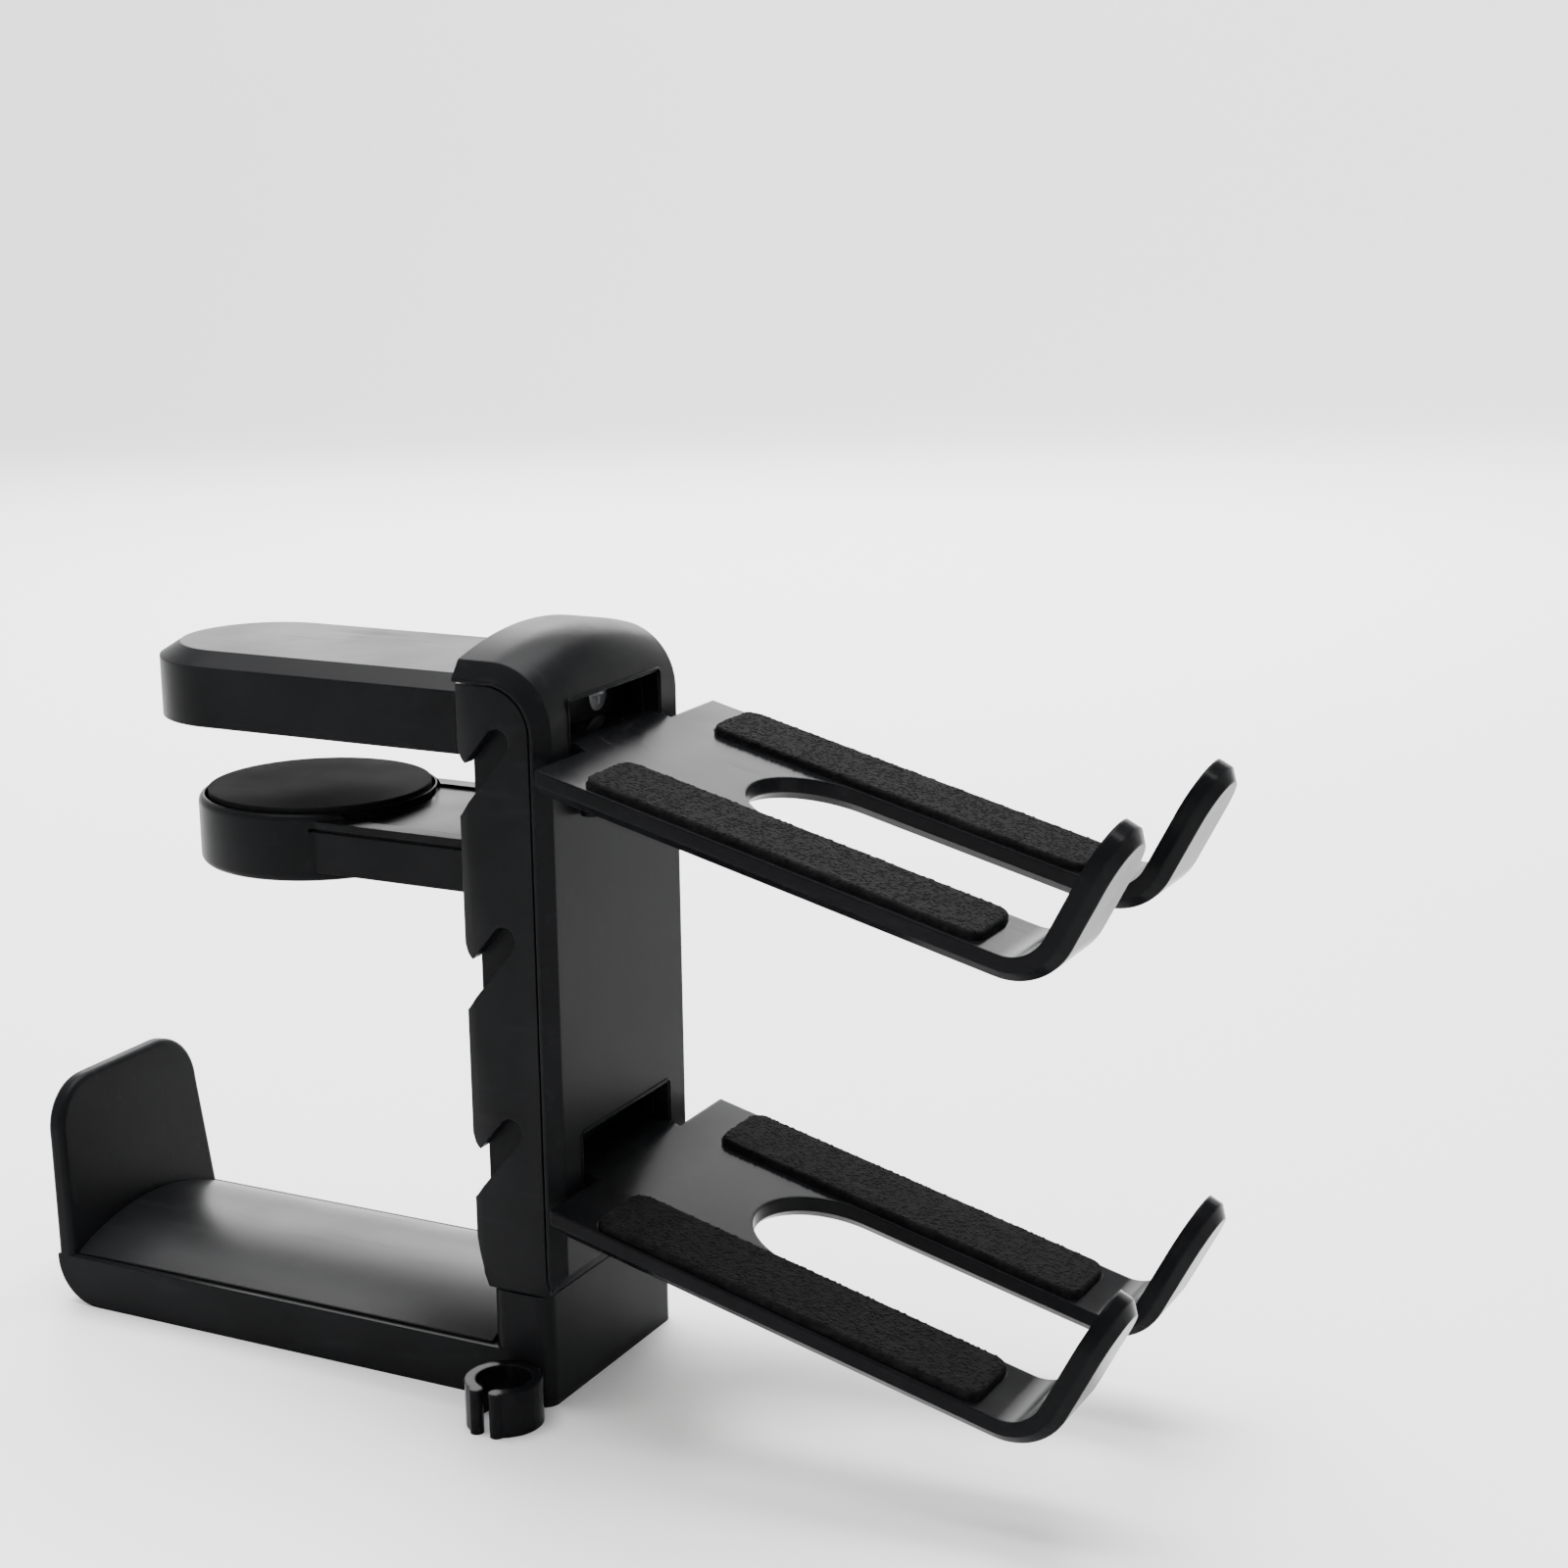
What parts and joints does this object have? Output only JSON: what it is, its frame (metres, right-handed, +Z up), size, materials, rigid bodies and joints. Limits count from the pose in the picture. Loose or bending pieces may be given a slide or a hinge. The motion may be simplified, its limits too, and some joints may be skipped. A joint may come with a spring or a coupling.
{
  "type": "desk clamp headphone hook",
  "caption": "Desk clamp with a sliding padded jaw, a swivelling headphone arm with upturned tip, forked controller trays on a spine and an open ring clip for a cable.",
  "frame": {"origin": "on the swivel axis of the headphone arm, at the flat underside of its base block, which stands on a table when the holder is put down", "axes": "+Z up along the spine and the swivel axis, +X from the desk side towards the controller trays, +Y across the spine"},
  "size_m": [0.197, 0.0594, 0.1216],
  "materials": {
    "black_plastic": "satin black moulded plastic",
    "gloss_black": "glossy black moulded plastic",
    "satin_rest": "fine-grained satin black",
    "soft_rubber": "smooth matte black",
    "grip_foam": "pebbled matte black",
    "nylon": "dull black",
    "screw_steel": "zinc plated",
    "brass": "turned"
  },
  "bodies": {
    "frame": {"spine_cover": "black_plastic", "spine_housing": "black_plastic", "inner_rail": "black_plastic", "cover_screws": "screw_steel", "top_jaw": "black_plastic", "top_jaw_pad": "soft_rubber", "jaw_screws": "screw_steel", "swivel_washers": "nylon"},
    "sliding_jaw": {"lower_jaw": "black_plastic", "jaw_slider": "nylon", "wheel_ring": "nylon"},
    "pad": {"clamp_pad": "soft_rubber", "pad_plate": "nylon", "clamp_screw": "screw_steel"},
    "wheel": {"thumb_wheel": "black_plastic"},
    "hook": {"headphone_hook": "black_plastic", "headband_rest": "satin_rest", "cable_clip": "gloss_black", "swivel_screw": "screw_steel", "swivel_insert": "brass"},
    "tray_top": {"upper_tray": "gloss_black", "upper_pad_near": "grip_foam", "upper_pad_far": "grip_foam"},
    "tray_bottom": {"lower_tray": "gloss_black", "lower_pad_near": "grip_foam", "lower_pad_far": "grip_foam"}
  },
  "joints": [
    {"name": "jaw_slide", "type": "slide", "parent": "frame", "child": "sliding_jaw", "axis": [0, 0, 1], "range_m": [-0.05, 0.005]},
    {"name": "pad_lift", "type": "slide", "parent": "sliding_jaw", "child": "pad", "axis": [0, 0, 1], "range_m": [0, 0.005]},
    {"name": "wheel_spin", "type": "hinge", "parent": "sliding_jaw", "child": "wheel", "pos_m": [-0.0476, 0, 0.0827], "axis": [0, 0, 1], "range_deg": [0, 450]},
    {"name": "hook_swivel", "type": "hinge", "parent": "frame", "child": "hook", "pos_m": [0, 0, 0.0186], "axis": [0, 0, 1], "range_deg": [-145, 145]},
    {"name": "upper_tray_lift", "type": "slide", "parent": "frame", "child": "tray_top", "axis": [0, 0, 1], "range_m": [0, 0.0055]},
    {"name": "lower_tray_lift", "type": "slide", "parent": "frame", "child": "tray_bottom", "axis": [0, 0, 1], "range_m": [0, 0.0055]}
  ],
  "couplings": [
    {"joint": "wheel_spin", "follows": "pad_lift", "rad_per_m": 1570.8}
  ]
}
